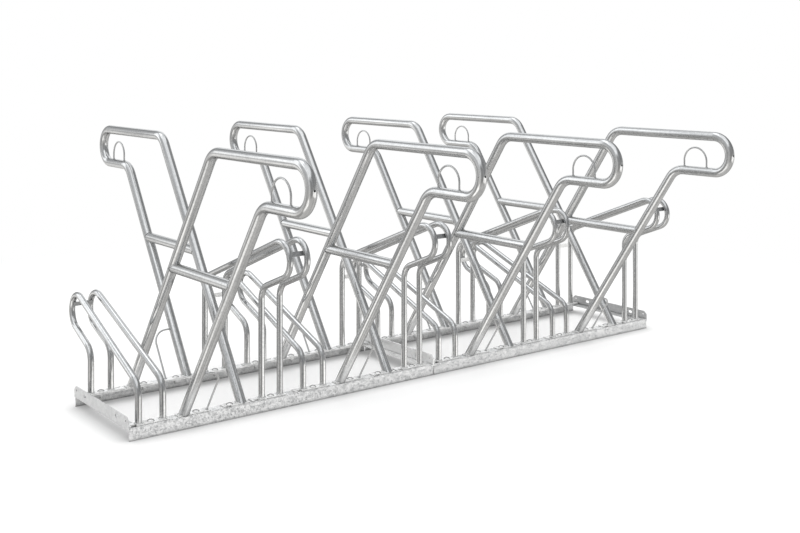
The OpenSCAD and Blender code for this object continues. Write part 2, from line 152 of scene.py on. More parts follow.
class FastenerSettings(PropertyGroup):
    """The rolled threads, chamfers and heads of the bolts, nuts and washers"""
    thread_pitch: metres("Thread Pitch", "Rise of one turn of the thread", 0.00175, 0.0005, 0.004)
    thread_depth: metres("Thread Depth", "Depth of the thread, softened by the zinc", 0.0008, 0, 0.002)
    end_chamfer: metres("End Chamfer", "Length of the chamfer at the end of a bolt", 0.0015, 0, 0.004)
    cup_height: metres("Cup Height", "Height of a cup head over its foot plate", 0.007, 0.002, 0.015)
    cup_rim: metres("Cup Rim", "Size of the small round at the rim of a cup head", 0.0006, 0.0001, 0.002)
    neck_length: metres("Neck Length", "Length of the square neck under a cup head", 0.008, 0.002, 0.015)
    bolt_diameter: metres("Bolt Diameter", "Thread diameter of all bolts", 0.012, 0.004, 0.03)
    washer_gap: metres("Washer Gap", "Gap between a bolt and its washer", 0.0005, 0, 0.002)
    nut_gap: metres("Nut Gap", "Gap between a bolt and its nut", 0.0001, 0, 0.001)
    hex_height: metres("Head Height", "Height of a joint bolt's hexagon head", 0.0075, 0.002, 0.02)


class StudioSettings(PropertyGroup):
    """Floor, lamp and camera"""
    floor_size: metres("Floor Size", "Side of the square floor", 60, 5, 200)
    floor_colour: tint("Floor Colour", "Colour of the floor", (0.715, 0.715, 0.715, 1))
    floor_lift: brightness("Floor Lift", "Light added to the floor that the camera sees", 0.25)
    fade_start: metres(
        "Fade Start", "How far from the rack's middle the floor starts to fade to white", 2.2, 0, 20)
    fade_end: metres("Fade End", "How far from the rack's middle the floor is plain white", 4.0, 0.1, 30)
    contact_shade: factor(
        "Contact Shade", "How much darker the floor gets where the rack stands close to it", 0.85)
    contact_reach: metres("Contact Reach", "How far from the rack that shade reaches", 0.08, 0.01, 2)
    mirror_reach: metres(
        "Mirror Reach", "How far from the floor the steel mirrors it instead of the panels", 0.25, 0.01, 2)
    walls: brightness("Walls", "Brightness of the walls that the steel mirrors where it meets no panel", 0.62)
    ambient: brightness("Ambient", "Strength of the even light from all round", 1.3)
    lamp_power: FloatProperty(
        name="Lamp Power", description="Power of the large lamp over the rack",
        default=10, min=0, soft_max=2000, subtype="POWER")
    lamp_size: metres("Lamp Size", "Side of that lamp", 6, 0.1, 10)
    lamp_place: position("Lamp Place", "Where that lamp hangs", (0.5, 0.5, 5.5))
    camera_place: position("Camera Place", "Where the camera stands", (-3.2529, -4.2728, 1.4486))
    camera_turn: FloatProperty(
        name="Camera Turn", description="How far the camera is turned from looking along +Y",
        default=math.radians(-37.41), subtype="ANGLE")
    sensor: FloatProperty(
        name="Sensor", description="Width of the camera's sensor",
        default=36, min=5, soft_max=100, unit="CAMERA")
    lens: FloatProperty(
        name="Lens", description="Focal length of the camera",
        default=50.02, min=10, soft_max=200, unit="CAMERA")
    shift: FloatProperty(
        name="Shift", description="How far the frame is shifted down to keep uprights upright",
        default=-0.2551, min=-1, max=1)


class StudioPanel(NamedTuple):
    """One soft panel that the steel mirrors; angles in degrees, azimuth from +Y towards +X"""
    azimuth: float
    elevation: float
    half_width: float
    half_height: float
    softness: float
    brightness: float


PANELS = (
    StudioPanel(0, -90, 45, 45, 0.35, 0.62),       # floor under the rack
    StudioPanel(0, 90, 38, 38, 0.35, 0.85),        # ceiling
    StudioPanel(-40, 68, 21, 13, 0.35, 2.0),       # lamp high at the back
    StudioPanel(-150, 67, 35, 30, 0.35, 1.18),     # soft box over the camera
    StudioPanel(-36, 23, 13, 21, 0.35, 1.5),       # left window at the back
    StudioPanel(38, 26, 21, 13, 0.35, 1.5),        # right window at the back
    StudioPanel(3, 26, 8, 24, 0.45, 0.50),         # wall between the windows
    StudioPanel(124, 31, 56, 26, 0.35, 0.31),      # dark hall on the right
    StudioPanel(-157, 2, 28, 29, 0.35, 0.33),      # dark hall behind the camera
    StudioPanel(147, -17, 30, 9, 0.35, 1.45),      # lit floor behind the camera
    StudioPanel(-79, 21, 27, 26, 0.35, 0.59),      # grey wall on the left
    StudioPanel(-87, -39, 22, 13, 0.35, 1.37),     # bright patch low on the left
    StudioPanel(-63, -17, 13, 14, 0.35, 0.40),     # dark gap low on the left
    StudioPanel(-38, -41, 17, 11, 0.35, 0.41),     # dark floor at the back
    StudioPanel(-12, -17, 20, 9, 0.35, 1.15),      # lit floor at the back
    StudioPanel(77, -7, 23, 17, 0.35, 0.87),       # pale wall on the right
)


class Finish(NamedTuple):
    """How one group of pieces differs from the plain coat"""
    shade: float = 0.5       # share of light zinc where nothing else changes it
    grain: float = 0.35      # strength of the crystals
    streaks: float = 0.0     # strength of the runs along a tube
    rough: float = 0.12      # added to the roughness of the coat
    spangle: float = 1.0     # size of the crystals against those of the tubes
    metal: float = 1.0       # 1 where the coat is bright, less where it has gone dull
    grime: float = 1.0       # how far from a corner its painted shade reaches, against that of the tubes
    wall_shading: float = 0.0  # the same on upright walls and in holes, or 0 where it is no different there
    rim: float = 0.0         # painted shade: how much darker the coat is painted along its rim, where it turns away from the view
    rim_start: float = 0.5   # how far the steel is turned away where that starts
    ripple: float = 0.5      # strength of the ripples in the coat
    splash: float = 0.0      # painted shade: how much darker it is near the floor, in place of the floor's contact shadow


FINISHES = {
    "rail_steel": Finish(shade=0.72, grain=2.20, spangle=0.8, metal=0.40, grime=1.2, wall_shading=4,
                         ripple=0.35, splash=0.20),
    # Painted light: the end members get a darker copy of the members' zinc for their duller outer faces, and
    # the middle members a lighter copy for their brighter foot tops
    "member_steel": Finish(shade=0.44, spangle=1.6, metal=0.35, grime=4, ripple=0.1, splash=0.35),
    "lit_joint_member_steel": Finish(shade=0.90, spangle=1.6, metal=0.35, grime=2, ripple=0.1),
    "plate_steel": Finish(shade=1.0, grain=0.40, spangle=0.8, metal=0.25, grime=1.2, ripple=0.2),
    "frame_steel": Finish(shade=0.60, grain=0.40, streaks=0.90, rough=-0.04, rim=0.45),
    "holder_steel": Finish(shade=0.58, grain=0.38, streaks=0.95, rough=-0.04, rim=0.45),
    "rod_steel": Finish(shade=0.50, grain=0.30, streaks=0.30, rough=0.06, spangle=0.6),
    "strap_steel": Finish(shade=0.30, rough=0.16),
    "leg_strap_steel": Finish(shade=0.85, rough=0.16),
    "bead_steel": Finish(shade=1.0, rough=0.10, spangle=0.6, metal=0.5, grime=0.5),
    "cup_steel": Finish(shade=1.0, grain=0.15, spangle=0.6, metal=0.2, grime=1.8, rim=0.95,
                        rim_start=0.3, ripple=0.2),
    "fastener_steel": Finish(shade=0.45, grain=0.30, rough=0.14, spangle=0.6),
}


class NodeSheet:
    """Adds nodes to one node tree from left to right and links them"""
    column_width = 190

    def __init__(self, tree):
        self.tree = tree
        self.column = 0

    def add(self, kind, inputs=None, **settings):
        """New shader or group node; an input's value is a number, a colour or the socket that feeds it"""
        node = self.tree.nodes.new(kind if kind.startswith("NodeGroup") else f"ShaderNode{kind}")
        node.location = (self.column * self.column_width, 0)
        self.column += 1
        for name, value in settings.items():
            setattr(node, name, value)
        for key, value in (inputs or {}).items():
            if isinstance(value, bpy.types.NodeSocket):
                self.tree.links.new(value, node.inputs[key])
            else:
                node.inputs[key].default_value = value
        return node

    def group(self, tree, inputs=None):
        """Outputs of a node group with its inputs set"""
        return self.add("Group", inputs, node_tree=tree).outputs

    def place(self, kind="Object"):
        """Texture coordinates"""
        return self.add("TexCoord").outputs[kind]

    def geometry(self, kind):
        """Position, Normal or another output of the Geometry node"""
        return self.add("NewGeometry").outputs[kind]

    def part(self, vector, axis):
        """X, Y or Z of a vector"""
        return self.add("SeparateXYZ", {0: vector}).outputs[axis]

    def math(self, operation, *values, clamp=False):
        """Output of a Math node on up to three values"""
        inputs = dict(enumerate(values))
        return self.add("Math", inputs, operation=operation, use_clamp=clamp).outputs[0]

    def vector(self, operation, **inputs):
        """Vector output of a Vector Math node, its inputs named a, b and scale"""
        places = {"a": 0, "b": 1, "scale": "Scale"}
        values = {places[key]: value for key, value in inputs.items()}
        return self.add("VectorMath", values, operation=operation).outputs[0]

    def noise(self, place, scale, detail, roughness=0.5, distortion=0.0):
        """Outputs of a Noise Texture node"""
        values = {"Scale": scale, "Detail": detail, "Roughness": roughness, "Distortion": distortion}
        return self.add("TexNoise", {"Vector": place, **values}).outputs

    def mapped(self, value, low, high, start=0.0, end=1.0, **settings):
        """Value from start to end taken to low to high, and held there beyond them"""
        return self.add("MapRange", {
            "Value": value, "From Min": start, "From Max": end, "To Min": low, "To Max": high},
            **settings).outputs[0]

    def blend(self, share, first, second):
        """Colour between first and second"""
        return self.add("Mix", {"Factor": share, 6: first, 7: second}, data_type="RGBA").outputs[2]

    def blend_shaders(self, share, first, second):
        """Shader between first and second"""
        return self.add("MixShader", {0: share, 1: first, 2: second}).outputs[0]


def cleared_sheet(owner):
    """Empty sheet for the nodes of a new material or world"""
    owner.use_nodes = True
    owner.node_tree.nodes.clear()
    return NodeSheet(owner.node_tree)


def node_group(name, inputs, outputs):
    """Makes a function that fills a sheet into one that returns a shader node group, built when first used.
    The inputs are {name: (default, description)} and the outputs {name: description}."""
    def wrap(fill):
        def build():
            if name not in bpy.data.node_groups:
                tree = bpy.data.node_groups.new(name, "ShaderNodeTree")
                for label, (default, words) in inputs.items():
                    kind = "NodeSocketVector" if isinstance(default, tuple) else "NodeSocketFloat"
                    socket = tree.interface.new_socket(
                        label, in_out="INPUT", socket_type=kind, description=words)
                    socket.default_value = default
                for label, words in outputs.items():
                    tree.interface.new_socket(
                        label, in_out="OUTPUT", socket_type="NodeSocketFloat", description=words)
                sheet = NodeSheet(tree)
                given = sheet.add("NodeGroupInput").outputs
                sheet.add("NodeGroupOutput", fill(sheet, given))
            return bpy.data.node_groups[name]
        return build
    return wrap


@node_group("Zinc Spangle", {
    "Size": (0.009, "Width of a crystal in metres"),
    "Feathering": (0.5, "How ragged the edges of the crystals are"),
}, {
    "Tone": "0 in dull crystals and 1 in bright ones",
    "Height": "Relief of the coat from 0 to 1",
})
def spangle_group(sheet, given):
    """Zinc crystals: flat patches with a tone of their own, and finer ones between them"""
    ragged_scale, chip_scale, cloud_scale = 1.7, 2.7, 0.22
    crystal_share, chip_share, cloud_share = 0.45, 0.30, 0.25
    shape_share, tone_share = 0.6, 0.4
    place = sheet.place()
    scale = sheet.math("DIVIDE", 1.0, given["Size"])
    ragged = sheet.noise(place, sheet.math("MULTIPLY", scale, ragged_scale), 3.0, 0.6)["Color"]
    centred = sheet.vector("SUBTRACT", a=ragged, b=(0.5, 0.5, 0.5))
    reach = sheet.math("MULTIPLY", given["Size"], given["Feathering"])
    bent = sheet.vector("ADD", a=place, b=sheet.vector("SCALE", a=centred, scale=reach))
    crystals = sheet.add("TexVoronoi", {"Vector": bent, "Scale": scale}).outputs
    chips = sheet.add("TexVoronoi", {
        "Vector": bent, "Scale": sheet.math("MULTIPLY", scale, chip_scale)}).outputs
    clouds = sheet.noise(place, sheet.math("MULTIPLY", scale, cloud_scale), 4.0, 0.65)["Fac"]
    big = sheet.add("SeparateColor", {"Color": crystals["Color"]}).outputs[0]
    small = sheet.add("SeparateColor", {"Color": chips["Color"]}).outputs[1]
    tone = sheet.math("MULTIPLY_ADD", big, crystal_share, sheet.math("MULTIPLY", small, chip_share))
    tone = sheet.math("MULTIPLY_ADD", clouds, cloud_share, tone, clamp=True)
    toned = sheet.math("MULTIPLY", tone, tone_share)
    height = sheet.math("MULTIPLY_ADD", crystals["Distance"], shape_share, toned)
    return {"Tone": tone, "Height": height}


@node_group("Zinc Runs", {
    "Count": (7.0, "Number of runs across the half of a tube"),
    "Length": (0.45, "Length of a run in metres"),
}, {
    "Tone": "0 in dull runs and 1 in bright ones",
    "Height": "Relief of the runs from 0 to 1",
})
def streak_group(sheet, given):
    """Runs along a tube: the tone changes round the tube and hardly along it.
    The tubes stand in planes across the rack, so a line along one keeps the X part of its normal."""
    tube_spacing = 9.0  # how far the pattern moves on from one tube to the next
    fine_stretch = (4.0, 1.6, 1.6)
    fine_share, broad_share = 0.45, 0.55
    darkest, brightest = 0.32, 0.68
    angle = sheet.math("ARCSINE", sheet.part(sheet.geometry("Normal"), "X"))
    around = sheet.math("MULTIPLY", angle, sheet.math("DIVIDE", given["Count"], math.pi))
    spread = sheet.vector("SCALE", a=sheet.place(), scale=sheet.math("DIVIDE", 1.0, given["Length"]))
    x, y, z = (sheet.part(spread, axis) for axis in "XYZ")
    tube = sheet.math("MULTIPLY_ADD", x, tube_spacing, around)
    run_place = sheet.add("CombineXYZ", {"X": tube, "Y": y, "Z": z}).outputs[0]
    broad = sheet.noise(run_place, 1.0, 2.0, 0.55, 0.3)["Fac"]
    fine = sheet.noise(sheet.vector("MULTIPLY", a=run_place, b=fine_stretch), 1.0, 3.0, 0.6)["Fac"]
    both = sheet.math("MULTIPLY_ADD", fine, fine_share, sheet.math("MULTIPLY", broad, broad_share))
    return {"Tone": sheet.mapped(both, 0.0, 1.0, darkest, brightest), "Height": fine}


@node_group("Handling Marks", {
    "Spacing": (0.05, "Distance between rubbed patches in metres"),
}, {
    "Mask": "1 on a mark and 0 beside it",
})
def scuff_group(sheet, given):
    """Thin scratches and rubbed patches from handling"""
    scratch_scale = 16.0
    scratch_stretch = (1.0, 0.22, 1.0)
    place = sheet.place()
    scale = sheet.math("DIVIDE", 1.0, given["Spacing"])
    patches = sheet.noise(place, scale, 2.0)["Fac"]
    long_place = sheet.vector("MULTIPLY", a=place, b=scratch_stretch)
    lines = sheet.noise(long_place, sheet.math("MULTIPLY", scale, scratch_scale), 2.0, distortion=1.4)["Fac"]
    patch_start, patch_end = 0.56, 0.68
    line_start, line_end = 0.58, 0.66
    patch = sheet.mapped(patches, 0.0, 1.0, patch_start, patch_end)
    line = sheet.mapped(lines, 0.0, 1.0, line_start, line_end)
    return {"Mask": sheet.math("MULTIPLY", patch, line)}


@node_group("Crevice Shading", {
    "Reach": (0.003, "How far from a corner the grime reaches on top, in metres"),
    "Wall Reach": (0.003, "How far it reaches on upright walls and in holes, in metres"),
    "Depth": (0.8, "Darkest share that it takes from the coat"),
}, {
    "Unshaded": "1 on open steel and less in a corner",
})
def crevice_shading_group(sheet, given):
    """Painted shade: the coat is darkened in inner corners, under heads and along seams, where ambient
    occlusion finds little open space
    """
    upright, level = 0.2, 0.8  # how far the steel faces up or down on walls and on tops
    closed, free = 0.3, 0.9    # share of open surroundings where the painted shade is deepest and where it ends
    facing = sheet.math("ABSOLUTE", sheet.part(sheet.geometry("Normal"), "Z"))
    reach = sheet.mapped(facing, given["Wall Reach"], given["Reach"], upright, level)
    open_share = sheet.add("AmbientOcclusion", {"Distance": reach}, samples=8).outputs["AO"]
    dirtiest = sheet.math("SUBTRACT", 1.0, given["Depth"])
    return {"Unshaded": sheet.mapped(open_share, dirtiest, 1.0, closed, free)}


@node_group("Studio Panel", {
    "Middle": ((0.0, 1.0, 0.0), "Direction of the middle of the panel"),
    "Side": ((1.0, 0.0, 0.0), "Direction of its right-hand edge"),
    "Up": ((0.0, 0.0, 1.0), "Direction of its upper edge"),
    "Half Width": (0.3, "Angle from the middle to a side, in radians"),
    "Half Height": (0.3, "Angle from the middle to the upper edge, in radians"),
    "Softness": (0.5, "Share of the panel over which it fades"),
}, {
    "Mask": "1 on the panel and 0 beside it",
})
def panel_group(sheet, given):
    """Soft-edged rectangle in a given direction, for the studio that the steel mirrors"""
    corner_round = 0.3
    look = sheet.place("Generated")
    ahead, aside, above = (
        sheet.add("VectorMath", {0: look, 1: given[key]}, operation="DOT_PRODUCT").outputs["Value"]
        for key in ("Middle", "Side", "Up"))
    turn = sheet.math("ABSOLUTE", sheet.math("ARCTAN2", aside, ahead))
    rise = sheet.math("ABSOLUTE", sheet.math("ARCSINE", above))
    across = sheet.math("DIVIDE", turn, given["Half Width"])
    upward = sheet.math("DIVIDE", rise, given["Half Height"])
    far = sheet.math("SMOOTH_MAX", across, upward, corner_round)
    outer = sheet.math("ADD", 1.0, given["Softness"])
    inner = sheet.math("SUBTRACT", 1.0, given["Softness"])
    return {"Mask": sheet.mapped(far, 0.0, 1.0, outer, inner, interpolation_type="SMOOTHSTEP")}


def zinc_material(finish_name, zinc):
    """Galvanised steel with one of the finishes, its colour darkened by painted shade in corners, along its
    rim and near the floor
    """
    name = f"galvanised_{finish_name}"
    if name in bpy.data.materials:
        return bpy.data.materials[name]
    finish = FINISHES[finish_name]
    material = bpy.data.materials.new(name)
    sheet = cleared_sheet(material)
    spangle = sheet.group(spangle_group(), {"Size": zinc.spangle_size * finish.spangle})
    tone = sheet.math("ADD", sheet.mapped(spangle["Tone"], -finish.grain / 2, finish.grain / 2), finish.shade)
    height = spangle["Height"]
    if finish.streaks > 0:
        runs = sheet.group(streak_group(), {"Length": zinc.streak_length})
        tone = sheet.math("ADD", tone, sheet.mapped(runs["Tone"], -finish.streaks / 2, finish.streaks / 2))
        run_share, crystal_share = 0.5, 0.5
        height = sheet.math("MULTIPLY", height, crystal_share)
        height = sheet.math("MULTIPLY_ADD", runs["Height"], run_share, height)
    marks = sheet.group(scuff_group())["Mask"]
    tone = sheet.math("MULTIPLY_ADD", marks, -zinc.scuff_shade, tone, clamp=True)
    # Painted shade: the colour darkens in inner corners, under heads and along seams, by ambient occlusion
    unshaded = sheet.group(crevice_shading_group(), {
        "Reach": zinc.shading_reach * finish.grime,
        "Wall Reach": zinc.shading_reach * (finish.wall_shading or finish.grime),
        "Depth": zinc.shading_depth})["Unshaded"]
    # Painted shade: a dark rim is painted where the steel turns away from the view, in place of the dark
    # reflections at its edge
    if finish.rim > 0:
        turned_away = sheet.add("LayerWeight", {"Blend": 0.5}).outputs["Facing"]
        rim_end = (1 + finish.rim_start) / 2
        rim_shade = sheet.mapped(turned_away, 1.0, 1 - finish.rim, finish.rim_start, rim_end)
        unshaded = sheet.math("MULTIPLY", unshaded, rim_shade)
    # Painted shade: the colour darkens towards the floor, standing in for the floor's contact shadow
    if finish.splash > 0:
        over_floor = sheet.part(sheet.geometry("Position"), "Z")
        unshaded_by_floor = sheet.mapped(over_floor, 1 - finish.splash, 1.0, 0.0, zinc.floor_shade_height)
        unshaded = sheet.math("MULTIPLY", unshaded, unshaded_by_floor)
    zinc_colour = sheet.blend(tone, tuple(zinc.dark_colour), tuple(zinc.light_colour))
    colour = sheet.vector("SCALE", a=zinc_colour, scale=unshaded)
    rough = zinc.roughness + finish.rough
    roughness = sheet.mapped(tone, rough + zinc.roughness_spread, rough - zinc.roughness_spread)
    roughness = sheet.math("MULTIPLY_ADD", marks, zinc.scuff_roughness, roughness, clamp=True)
    bump = sheet.add("Bump", {"Strength": finish.ripple, "Distance": zinc.relief, "Height": height})
    shader = sheet.add("BsdfPrincipled", {
        "Base Color": colour, "Metallic": finish.metal, "Roughness": roughness, "Normal": bump.outputs[0]})
    sheet.add("OutputMaterial", {"Surface": shader.outputs[0]})
    return material


def cad(name):
    """The CAD node of that name; a missing one stops the script"""
    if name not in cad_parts:
        raise RuntimeError(f"the packed model has no node {name}")
    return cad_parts[name]


def dress(names, finish_name, context):
    """Gives CAD nodes their zinc"""
    material = zinc_material(finish_name, context.scene.rack_zinc)
    for name in names:
        for place in cad(name).material_slots:
            place.material = material


def ease_edges(names, context):
    """Rounds the cut edges of flat steel, as the zinc does"""
    sharpest_round = math.radians(50)
    for name in names:
        node = cad(name)
        weld = node.modifiers.new("join_corners", "WELD")
        weld.merge_threshold = SAME_PLACE
        bevel = node.modifiers.new("eased_edges", "BEVEL")
        bevel.width = context.scene.rack_zinc.edge_round
        bevel.segments = 2
        bevel.limit_method = "ANGLE"
        bevel.angle_limit = sharpest_round
        bevel.harden_normals = True


def solids(name):
    """(lowest corner, highest corner) of each separate solid of a CAD node, in order along the rack"""
    work = bmesh.new()
    work.from_mesh(cad(name).data)
    bmesh.ops.remove_doubles(work, verts=work.verts, dist=SAME_PLACE)
    left = set(work.verts)
    boxes = []
    while left:
        start = left.pop()
        edge = [start]
        found = [start.co.copy()]
        while edge:
            for link in edge.pop().link_edges:
                for vert in link.verts:
                    if vert in left:
                        left.remove(vert)
                        edge.append(vert)
                        found.append(vert.co.copy())
        boxes.append((Vector(map(min, zip(*found))), Vector(map(max, zip(*found)))))
    work.free()
    return sorted(boxes, key=lambda box: (round(box[0].x, 4), box[0].y))


def feet(name):
    """(centre, half width in X, half width in Y) of each foot of a bent tube, where it meets its plate"""
    points = [vert.co for vert in cad(name).data.vertices]
    floor = min(point.z for point in points)
    low = [point for point in points if point.z < floor + SAME_HEIGHT]
    found = []
    for side in (-1, 1):
        ring = [point for point in low if point.y * side > 0]
        if ring:
            xs, ys = [point.x for point in ring], [point.y for point in ring]
            centre = Vector(((min(xs) + max(xs)) / 2, (min(ys) + max(ys)) / 2, floor))
            found.append((centre, (max(xs) - min(xs)) / 2, (max(ys) - min(ys)) / 2))
    return found


def angles(count):
    """Equal steps of one turn"""
    return [math.tau * k / count for k in range(count)]


def toward(angle, side, up):
    """Direction at an angle from side towards up"""
    return math.cos(angle) * side + math.sin(angle) * up


def cross_axes(axis):
    """Two directions across an axis that stands upright or lies along the rack"""
    side = ALONG_RACK if abs(axis.z) > 0.5 else UPWARD
    return side, axis.cross(side)


def add_rows(work, rows, round_rows=False, shift=0, caps=False):
    """Skins rows of points, each a closed ring, with faces.
    round_rows also joins the last row to the first, which is turned on by shift corners."""
    rings = [[work.verts.new(point) for point in row] for row in rows]
    pairs = list(zip(rings, rings[1:]))
    if round_rows:
        pairs.append((rings[-1], rings[0][shift:] + rings[0][:shift]))
    for near, far in pairs:
        for k in range(len(near)):
            work.faces.new((near[k - 1], near[k], far[k], far[k - 1]))
    if caps:
        work.faces.new(rings[0][::-1])
        work.faces.new(rings[-1])


def finished_piece(name, work, slot, context, smooth_angle, finish_name=None):
    """Turns mesh work into a piece of the rack that rides on its body, with its slot's finish or another"""
    bmesh.ops.recalc_face_normals(work, faces=work.faces)
    mesh = bpy.data.meshes.new(name)
    work.to_mesh(mesh)
    work.free()
    mesh.shade_smooth()
    mesh.set_sharp_from_angle(angle=smooth_angle)
    piece = bpy.data.objects.new(name, mesh)
    context.scene.collection.objects.link(piece)
    mesh.materials.append(zinc_material(finish_name or slot, context.scene.rack_zinc))
    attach(piece, BODY)
    return piece


class BIKERACK_OT_rails(Operator):
    """Gives the angle rails and cross members their mottled zinc and eased edges"""
    bl_idname = "bike_rack.rails"
    bl_label = "Rails and Cross Members"

    def execute(self, context):
        dress(RAILS, "rail_steel", context)
        dress(END_MEMBERS, "member_steel", context)
        dress(JOINT_MEMBERS, "lit_joint_member_steel", context)
        ease_edges(RAILS + END_MEMBERS + JOINT_MEMBERS, context)
        return {"FINISHED"}


class BIKERACK_OT_frames(Operator):
    """Gives the lock frames and their crossbars zinc with runs along the tubes"""
    bl_idname = "bike_rack.frames"
    bl_label = "Lock Frames"

    def execute(self, context):
        dress(FRAMES + CROSSBARS, "frame_steel", context)
        return {"FINISHED"}


class BIKERACK_OT_locks(Operator):
    """Gives the lock eyes and lock rods their zinc"""
    bl_idname = "bike_rack.locks"
    bl_label = "Lock Eyes and Rods"

    def execute(self, context):
        dress(EYES + RODS, "rod_steel", context)
        return {"FINISHED"}


class BIKERACK_OT_holders(Operator):
    """Gives the wheel holders and their straps their zinc"""
    bl_idname = "bike_rack.holders"
    bl_label = "Wheel Holders"

    def execute(self, context):
        dress(BARS, "holder_steel", context)
        dress(("nose_straps",), "strap_steel", context)
        dress(("leg_straps",), "leg_strap_steel", context)
        ease_edges(STRAPS, context)
        return {"FINISHED"}


class BIKERACK_OT_plates(Operator):
    """Gives the foot plates their zinc and eased edges"""
    bl_idname = "bike_rack.plates"
    bl_label = "Foot Plates"

    def execute(self, context):
        dress(PLATES, "plate_steel", context)
        ease_edges(PLATES, context)
        return {"FINISHED"}


class BIKERACK_OT_fasteners(Operator):
    """Makes the bolts, washers and nuts with their heads, threads and chamfers"""
    bl_idname = "bike_rack.fasteners"
    bl_label = "Fasteners"

    def execute(self, context):
        self.settings = context.scene.rack_fasteners
        self.round_angle = math.radians(40)
        self.hexagon_angle = math.radians(18)
        self.cup_bolts(context)
        self.washers(context, "foot_washers", UPWARD)
        self.washers(context, "joint_washers", ALONG_RACK)
        self.nuts(context, "foot_nuts", -UPWARD)
        self.nuts(context, "joint_nuts", ALONG_RACK)
        self.joint_bolts(context)
        return {"FINISHED"}

    def cup_bolts(self, context):
        """Cup heads, square necks and threaded shanks"""
        dome_steps = 9
        rim_round = ((0.3, 0.6), (0.1, 0.2), (1, 0))  # shares of the rim, inwards and upwards
        square = ((1, 1), (-1, 1), (-1, -1), (1, -1))
        height, rim = self.settings.cup_height, self.settings.cup_rim
        radius = self.settings.bolt_diameter / 2
        work = bmesh.new()
        for low, high in solids("cup_bolts"):
            middle = Vector(((low.x + high.x) / 2, (low.y + high.y) / 2, high.z - height))
            cup = (high.x - low.x) / 2
            ball = (cup * cup + height ** 2) / (2 * height)
            sweep = math.asin((cup - rim) / ball)
            turns = [sweep * k / dome_steps for k in range(1, dome_steps + 1)]
            profile = [(ball * math.sin(t), height - ball * (1 - math.cos(t))) for t in turns]
            profile += [(cup - rim * inward, rim * upward) for inward, upward in rim_round]
            add_rows(work, self.turned_rows(profile, middle, UPWARD), caps=True)
            neck = [[middle + Vector((x * radius, y * radius, -depth)) for x, y in square]
                    for depth in (0, self.settings.neck_length)]
            add_rows(work, neck, caps=True)
            start = middle - UPWARD * self.settings.neck_length
            self.add_thread(work, start, -UPWARD, radius, start.z - low.z)
        piece = finished_piece("cup_bolt_heads_and_shanks", work, "cup_steel", context, self.round_angle)
        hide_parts("cup_bolts")

    def washers(self, context, name, axis):
        """Stamped washers with rolled edges"""
        inner = self.settings.bolt_diameter / 2 + self.settings.washer_gap
        work = bmesh.new()
        for low, high in solids(name):
            size = high - low
            thickness = abs(size.dot(axis))
            outer = max(size) / 2
            roll = thickness / 4
            profile = [(inner, 0), (outer - roll, 0), (outer, roll), (outer, thickness - roll),
                       (outer - roll, thickness), (inner, thickness)]
            base = (low + high) / 2 - axis * thickness / 2
            add_rows(work, self.turned_rows(profile, base, axis), round_rows=True)
        piece = finished_piece(f"rolled_{name}", work, "fastener_steel", context, self.round_angle)
        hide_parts(name)

    def nuts(self, context, name, axis):
        """Hexagon nuts with turned corners"""
        bore = self.settings.bolt_diameter / 2 + self.settings.nut_gap
        work = bmesh.new()
        for low, high in solids(name):
            size = high - low
            height = abs(size.dot(axis))
            flats = min(size.y, max(size.x, size.z)) if abs(axis.z) > 0.5 else min(size.y, size.z)
            self.add_hexagon(work, (low + high) / 2 - axis * height / 2, axis, flats, height, bore)
        piece = finished_piece(f"chamfered_{name}", work, "fastener_steel", context, self.hexagon_angle)
        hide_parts(name)

    def joint_bolts(self, context):
        """Hexagon bolts through the slots between the modules"""
        height = self.settings.hex_height
        work = bmesh.new()
        for low, high in solids("joint_bolts"):
            middle = (low + high) / 2
            base = Vector((low.x + height, middle.y, middle.z))
            flats = min(high.y - low.y, high.z - low.z)
            self.add_hexagon(work, base, -ALONG_RACK, flats, height)
            self.add_thread(work, base, ALONG_RACK, self.settings.bolt_diameter / 2, high.x - base.x)
        piece = finished_piece(
            "joint_bolt_heads_and_shanks", work, "fastener_steel", context, self.hexagon_angle)
        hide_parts("joint_bolts")

    def turned_rows(self, profile, place, axis):
        """Rows of a turned shape; profile has (radius, distance along the axis)"""
        segments = 32
        side, up = cross_axes(axis)
        return [[place + axis * along + radius * toward(turn, side, up) for turn in angles(segments)]
                for radius, along in profile]

    def add_thread(self, work, place, axis, radius, length):
        """Bolt shank with a rolled thread that starts at place and ends in a chamfer"""
        segments = 24
        rows_per_turn = 4
        pitch, depth = self.settings.thread_pitch, self.settings.thread_depth
        side, up = cross_axes(axis)
        count = math.ceil(length / pitch * rows_per_turn)
        rows = []
        for n in range(count + 1):
            along = length * n / count
            chamfer = max(0.0, along - (length - self.settings.end_chamfer))
            row = []
            for k, turn in enumerate(angles(segments)):
                phase = (along / pitch - k / segments) % 1
                cut = depth * abs(2 * phase - 1)
                size = radius - max(cut, chamfer)
                row.append(place + axis * along + size * toward(turn, side, up))
            rows.append(row)
        add_rows(work, rows, caps=True)

    def add_hexagon(self, work, place, axis, flats, height, bore=0.0):
        """Nut, or bolt head if it has no bore, with turned corners; axis points out from its base at place"""
        segments = 48
        face_share = 0.95
        chamfer_slope = math.tan(math.radians(25))
        side, up = cross_axes(axis)
        apothem = flats / 2
        face = apothem * face_share

        def ring(size, along):
            row = []
            for turn in angles(segments):
                corner = (turn + math.pi / 6) % (math.pi / 3) - math.pi / 6
                edge = apothem / math.cos(math.pi / 6 - abs(corner))
                reach = edge if size is None else min(size, edge)
                drop = max(0.0, reach - face) * chamfer_slope if size is None else 0.0
                row.append(place + axis * along(drop) + reach * toward(turn, side, up))
            return row

        has_bore = bore > 0
        rows = [
            ring(face if has_bore else apothem, lambda drop: 0),
            ring(None, lambda drop: drop if has_bore else 0),
            ring(None, lambda drop: height - drop),
            ring(face, lambda drop: height),
        ]
        if has_bore:
            rows += [ring(bore, lambda drop: height), ring(bore, lambda drop: 0)]
        add_rows(work, rows, round_rows=has_bore, caps=not has_bore)


